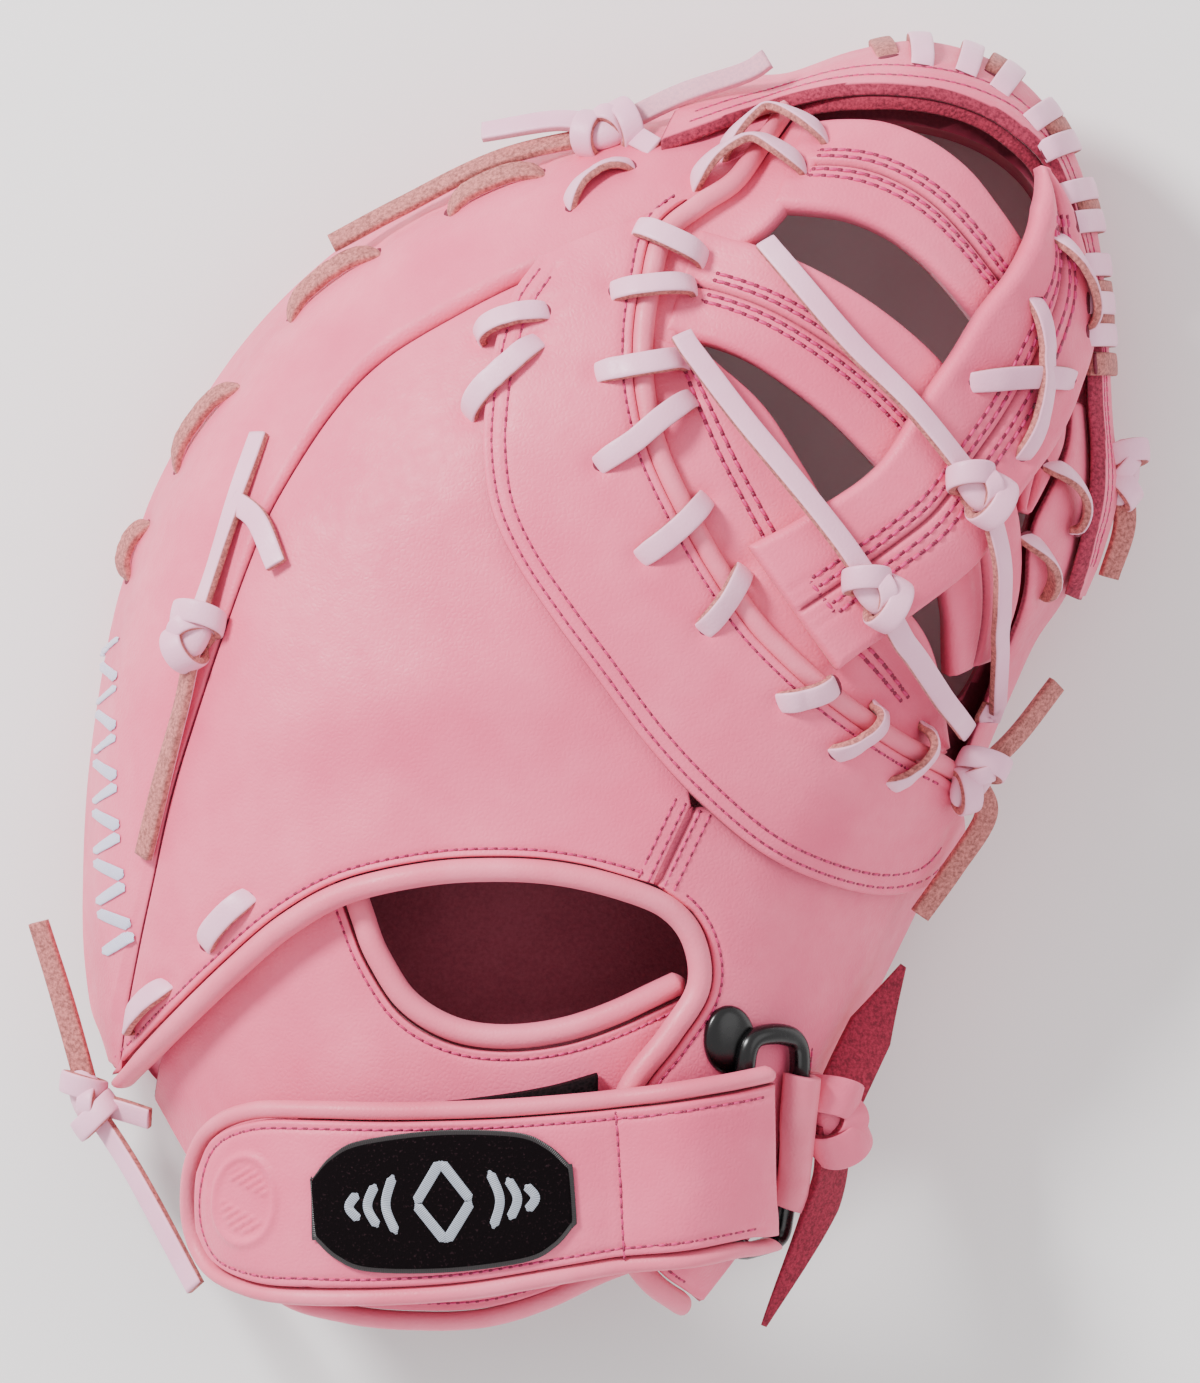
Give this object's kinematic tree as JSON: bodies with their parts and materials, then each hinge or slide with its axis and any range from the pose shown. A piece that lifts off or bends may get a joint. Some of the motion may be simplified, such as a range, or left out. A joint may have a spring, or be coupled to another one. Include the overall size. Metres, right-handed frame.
{
  "type": "first baseman mitt",
  "caption": "First baseman mitt for the left hand: padded palm, stitched back panels, open bar web with a post, laced rim, and a wrist strap closed through a plastic ring.",
  "frame": {"origin": "centre of the bounding box, on the floor that the palm's lip rests on", "axes": "+Z from the pocket to the back of the hand, +Y from the heel to the fingertips, +X towards the thumb and the web"},
  "size_m": [0.2767, 0.3187, 0.1093],
  "materials": {
    "shell_leather": "satin",
    "palm_leather": "satin",
    "binding_leather": "satin",
    "lace_leather": "satin",
    "edge_leather": "matte",
    "patch_fabric": "matte",
    "fastener_fabric": "matte",
    "ring_plastic": "satin"
  },
  "bodies": {
    "root": {"palm": "palm_leather", "finger_back": "shell_leather", "finger_side": "shell_leather", "side_panel": "shell_leather", "thumb_wrist": "shell_leather", "thumb_web": "shell_leather", "wrist_panel": "shell_leather", "welt": "binding_leather", "opening_binding": "binding_leather", "cutout_binding": "binding_leather", "wrist_binding": "binding_leather", "web_bar_upper": "shell_leather", "web_bar_lower": "shell_leather", "web_base": "shell_leather", "web_post": "shell_leather", "top_band": "shell_leather", "top_band_liner": "edge_leather", "strap": "shell_leather", "strap_binding": "binding_leather", "strap_patch": "patch_fabric", "fastener_pad": "fastener_fabric", "ring": "ring_plastic", "ring_tab": "shell_leather", "heel_lace": "lace_leather", "rim_lace": "lace_leather", "tip_lace": "lace_leather", "index_lace": "lace_leather", "web_lace": "lace_leather", "finger_web_lace": "lace_leather", "post_lace": "lace_leather", "thumb_lace": "lace_leather", "band_lace": "lace_leather", "knot_top": "lace_leather", "knot_pinky": "lace_leather", "knot_post_upper": "lace_leather", "knot_post_lower": "lace_leather", "knot_thumb": "lace_leather", "knot_heel": "lace_leather", "knot_crest": "lace_leather", "wide_lace": "edge_leather"}
  },
  "joints": []
}
